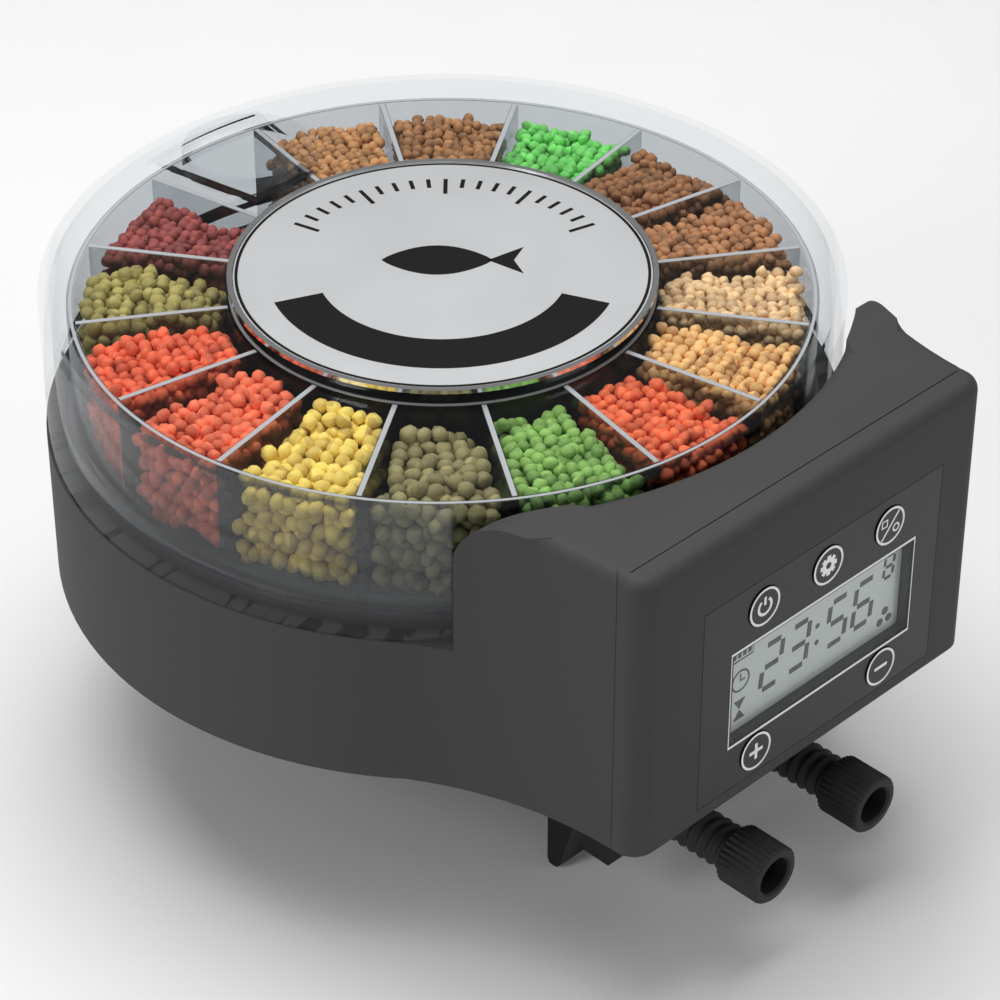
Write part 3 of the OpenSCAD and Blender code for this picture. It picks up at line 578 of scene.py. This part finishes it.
def key_sign(bm, place, kind, u, v, rise):
    line = 0.5 * MM
    if kind == "power":
        band(bm, place, arc(u, v, 1.4 * MM, 125, 415, 40), line, rise)
        band(bm, place, [(u, v + 0.3 * MM), (u, v + 1.8 * MM)], line, rise)
    elif kind == "cog":
        outline = []
        for k in range(8):
            for d, r in ((-13, 1.9), (13, 1.9), (16, 1.45), (29, 1.45)):
                a = math.radians(45 * k + d)
                outline.append((u + r * MM * math.cos(a), v + r * MM * math.sin(a)))
        n = len(outline)
        hole_turn = 0.2269
        inner = [(u + 0.6 * MM * math.cos(math.tau * i / n - hole_turn),
                  v + 0.6 * MM * math.sin(math.tau * i / n - hole_turn)) for i in range(n)]
        loops = [[bm.verts.new(place(p[0], p[1], h)) for p in ring]
                 for ring, h in ((outline, 0), (outline, rise), (inner, rise), (inner, 0))]
        for i in range(n):
            j = (i + 1) % n
            for k in range(4):
                a, b = loops[k], loops[(k + 1) % 4]
                bm.faces.new((a[i], a[j], b[j], b[i]))
    elif kind == "split":
        band(bm, place, [(u - 1.9 * MM, v - 2.1 * MM), (u + 1.9 * MM, v + 2.1 * MM)], 0.35 * MM, rise)
        square = rectangle(u - 2.0 * MM, v + 0.3 * MM, u - 0.8 * MM, v + 1.5 * MM)
        band(bm, place, square, 0.3 * MM, rise, True)
        band(bm, place, ring_path(u + 1.4 * MM, v - 0.9 * MM, 0.65 * MM, 24), 0.3 * MM, rise, True)
    else:
        band(bm, place, [(u - 1.5 * MM, v), (u + 1.5 * MM, v)], 0.6 * MM, rise)
        if kind == "plus":
            for s in (-1, 1):
                band(bm, place, [(u, v + s * 0.31 * MM), (u, v + s * 1.5 * MM)], 0.6 * MM, rise)


class FEEDER_OT_keys(bpy.types.Operator):
    """Print a ring and a plain sign on each key."""

    bl_idname = "feeder.keys"
    bl_label = "Key signs"

    def execute(self, context):
        rise = context.scene.feeder_sizes.print_height
        for node, kind in KEY_SIGNS.items():
            low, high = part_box(node)
            u, v = (low.x + high.x) / 2, (low.z + high.z) / 2
            cap_r = (high.x - low.x) / 2 - 0.7 * MM
            bm = bmesh.new()
            place = on_front(low.y)
            band(bm, place, ring_path(u, v, cap_r - 0.25 * MM), 0.4 * MM, rise, True)
            key_sign(bm, place, kind, u, v, rise)
            piece_from(node + "_sign", bm, "print_white", node)
        return {"FINISHED"}


class FEEDER_OT_overlay(bpy.types.Operator):
    """Print the white frame around the window."""

    bl_idname = "feeder.overlay"
    bl_label = "Overlay print"

    def execute(self, context):
        rise, edge = context.scene.feeder_sizes.print_height, 0.5 * MM
        bm = bmesh.new()
        place = on_front(BLACK_FRONT)
        frame_line = rectangle(WINDOW_LO.x - edge, WINDOW_LO.z - edge, WINDOW_HI.x + edge, WINDOW_HI.z + edge)
        band(bm, place, frame_line, 0.45 * MM, rise, True)
        piece_from("window_frame_print", bm, "print_white", "base")
        return {"FINISHED"}


SEGMENTS = {"2": "abged", "3": "abgcd", "5": "afgcd", "6": "afgcde", "8": "abcdefg"}


def digit(bm, place, sign, u, v, wide, tall, line, rise):
    """A seven-bar figure, leaning a little."""
    bars = {"a": ((0, 1), (1, 1)), "b": ((1, 0.5), (1, 1)), "c": ((1, 0), (1, 0.5)), "d": ((0, 0), (1, 0)),
            "e": ((0, 0), (0, 0.5)), "f": ((0, 0.5), (0, 1)), "g": ((0, 0.5), (1, 0.5))}
    for bar in SEGMENTS[sign]:
        (p, q), (r, s) = bars[bar]
        trim = line * 0.6
        du, dv = (trim, 0) if q == s else (0, trim)
        ends = [(p * wide + du, q * tall + dv), (r * wide - du, s * tall - dv)]
        band(bm, place, [(u + a + 0.1 * b, v + b) for a, b in ends], line, rise)


class FEEDER_OT_figures(bpy.types.Operator):
    """Draw the figures and small signs of the display, just behind its window."""

    bl_idname = "feeder.figures"
    bl_label = "Display figures"

    def execute(self, context):
        rise = context.scene.feeder_sizes.print_height
        place = on_front(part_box("lcd_module")[0].y)
        left, low = WINDOW_LO.x, WINDOW_LO.z
        bm = bmesh.new()
        cursor = left + 8.6 * MM
        for sign in "23:56":
            if sign == ":":
                for h in (2.4, 5.6):
                    patch(bm, place, ring_path(cursor + 0.6 * MM, low + (4.4 + h) * MM, 0.5 * MM, 16), rise)
                cursor += 2.8 * MM
            else:
                digit(bm, place, sign, cursor, low + 4.4 * MM, 4.2 * MM, 8.2 * MM, 1.0 * MM, rise)
                cursor += 6.2 * MM
        digit(bm, place, "8", WINDOW_HI.x - 4.2 * MM, low + 10.6 * MM, 2.2 * MM, 4.2 * MM, 0.6 * MM, rise)
        for du, dv in ((4.2, 2.2), (2.1, 2.2), (3.1, 4.0)):
            patch(bm, place, ring_path(WINDOW_HI.x - du * MM, low + dv * MM, 0.75 * MM, 20), rise)
        battery = rectangle(left + 1.5 * MM, low + 13.3 * MM, left + 6.6 * MM, low + 15.5 * MM)
        band(bm, place, battery, 0.3 * MM, rise, True)
        for k in range(4):
            bar = rectangle(left + (2.0 + 1.15 * k) * MM, low + 13.8 * MM,
                            left + (2.8 + 1.15 * k) * MM, low + 15 * MM)
            patch(bm, place, bar, rise)
        clock = (left + 4 * MM, low + 9.2 * MM)
        band(bm, place, ring_path(*clock, 1.9 * MM, 40), 0.35 * MM, rise, True)
        hands = [(clock[0], clock[1] + 1.3 * MM), clock, (clock[0] + 1 * MM, clock[1])]
        band(bm, place, hands, 0.3 * MM, rise)
        for s in (-1, 1):
            glass_half = [(left + (4 - 1.3) * MM, low + (3.6 + s * 1.9) * MM),
                          (left + (4 + 1.3) * MM, low + (3.6 + s * 1.9) * MM),
                          (left + 4 * MM, low + (3.6 + s * 0.05) * MM)]
            patch(bm, place, glass_half, rise)
        piece_from("display_figures", bm, "lcd_ink", "base")
        return {"FINISHED"}


class FEEDER_OT_thumb_screws(bpy.types.Operator):
    """Make both thumb screws with a knurled head, a round socket and a coarse thread."""

    bl_idname = "feeder.thumb_screws"
    bl_label = "Thumb screws"

    def execute(self, context):
        sizes = context.scene.feeder_sizes
        around = sizes.knurls * 6
        for node in ("left_screw", "right_screw"):
            low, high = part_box(node)
            cx, cz, head = (low.x + high.x) / 2, (low.z + high.z) / 2, (high.x - low.x) / 2
            face, tip = low.y, high.y
            shank, tip_r, neck = 3.9 * MM, 1.6 * MM, tip - 1.3 * MM
            head_l, socket, socket_d = 8.4 * MM, 3.2 * MM, 6 * MM

            def plain(y, r):
                return y, lambda a: r

            def knurled(y):
                return y, lambda a: head - 0.16 * MM * (1 - math.cos(sizes.knurls * a))

            def threaded(y):
                return y, lambda a: shank - 0.3 * MM * (1 - math.cos(math.tau * y / sizes.thread_pitch - a))

            rows = [plain(face + socket_d, socket), plain(face + 0.4 * MM, socket),
                    plain(face, socket + 0.35 * MM), plain(face, head - 0.7 * MM),
                    plain(face + 0.12 * MM, head - 0.45 * MM), knurled(face + 0.5 * MM),
                    knurled(face + head_l - 0.5 * MM), plain(face + head_l, head - 0.7 * MM),
                    plain(face + head_l, shank - 0.4 * MM)]
            y = face + head_l + 0.2 * MM
            while y < neck:
                rows.append(threaded(y))
                y += sizes.thread_pitch / 10
            rows += [plain(neck, shank - 0.6 * MM), plain(neck, tip_r), plain(tip, tip_r)]
            bm = bmesh.new()
            turns = [math.tau * k / around for k in range(around)]
            loops = [[bm.verts.new((cx + radius(a) * math.cos(a), y, cz + radius(a) * math.sin(a)))
                      for a in turns] for y, radius in rows]
            for a, b in zip(loops, loops[1:]):
                for k in range(around):
                    bm.faces.new((a[k], a[(k + 1) % around], b[(k + 1) % around], b[k]))
            bm.faces.new(loops[0])
            bm.faces.new(loops[-1])
            screw = piece_from(node + "_knurled", bm, "screw_black", node)
            screw.data.shade_smooth()
            screw.data.set_sharp_from_angle(angle=math.radians(38))
            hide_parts(node)
        return {"FINISHED"}


def soft_box(name, place, target, size, power):
    light = bpy.data.lights.new(name, "AREA")
    light.shape = "RECTANGLE"
    light.size, light.size_y = size
    light.energy = power
    obj = bpy.data.objects.new(name, light)
    bpy.context.scene.collection.objects.link(obj)
    obj.location = place
    obj.rotation_euler = (Vector(target) - Vector(place)).to_track_quat("-Z", "Y").to_euler()


class FEEDER_OT_stage(bpy.types.Operator):
    """Make the floor, the lights and the camera."""

    bl_idname = "feeder.stage"
    bl_label = "Stage"

    def execute(self, context):
        bm = bmesh.new()
        level = first_bounds[0][2]
        bmesh.ops.create_grid(bm, x_segments=1, y_segments=1, size=6.0)
        for v in bm.verts:
            v.co.z = level - 0.2 * MM
        mesh = bpy.data.meshes.new("floor")
        bm.to_mesh(mesh)
        bm.free()
        mesh.materials.append(moulded("pale_floor", (0.8, 0.8, 0.8), 0.7, 60.0, 0.02 * MM, 0.01))
        floor = bpy.data.objects.new("floor", mesh)
        context.scene.collection.objects.link(floor)
        world = bpy.data.worlds.new("studio")
        context.scene.world = world
        world.use_nodes = True
        world.node_tree.nodes["Background"].inputs["Color"].default_value = (1, 1, 1, 1)
        world.node_tree.nodes["Background"].inputs["Strength"].default_value = 0.24
        soft_box("top_light", (0.05, 0.15, 0.75), (0, 0, 0.03), (0.7, 0.7), 6.5)
        soft_box("left_light", (-0.75, 0.05, 0.35), (0, 0, 0.03), (0.2, 0.5), 2.2)
        soft_box("front_light", (0.35, -0.8, 0.35), (0, -0.06, 0.02), (0.35, 0.5), 1.4)
        lens = bpy.data.cameras.new("camera")
        lens.lens, lens.sensor_width = 130.49, 36.0
        lens.clip_start, lens.clip_end = 0.01, 50
        camera = bpy.data.objects.new("camera", lens)
        context.scene.collection.objects.link(camera)
        camera.location = (-0.34128, -0.35659, 0.36431)
        camera.rotation_euler = (math.radians(54.025), 0, math.radians(-44.808))
        context.scene.camera = camera
        context.scene.view_settings.view_transform = "Standard"
        return {"FINISHED"}


class FEEDER_PT_panel(bpy.types.Panel):
    """Lists the steps that build the feeder."""

    bl_idname = "FEEDER_PT_panel"
    bl_label = "Fish feeder"
    bl_space_type = "VIEW_3D"
    bl_region_type = "UI"
    bl_category = "Feeder"

    def draw(self, context):
        for step in STEPS:
            self.layout.operator(step.bl_idname)


STEPS = (FEEDER_OT_finishes, FEEDER_OT_housing, FEEDER_OT_food, FEEDER_OT_wheel_edge_highlights, FEEDER_OT_label,
         FEEDER_OT_overlay, FEEDER_OT_keys, FEEDER_OT_figures, FEEDER_OT_thumb_screws, FEEDER_OT_stage)
CLASSES = (FeederSizes, FeederColours, *STEPS, FEEDER_PT_panel)


def register():
    for item in CLASSES:
        bpy.utils.register_class(item)
    bpy.types.Scene.feeder_sizes = bpy.props.PointerProperty(type=FeederSizes)
    bpy.types.Scene.feeder_colours = bpy.props.PointerProperty(type=FeederColours)


def unregister():
    del bpy.types.Scene.feeder_colours
    del bpy.types.Scene.feeder_sizes
    for item in reversed(CLASSES):
        bpy.utils.unregister_class(item)


def main():
    register()
    for step in STEPS:
        group, name = step.bl_idname.split(".")
        getattr(getattr(bpy.ops, group), name)()


if __name__ == "__main__":
    main()
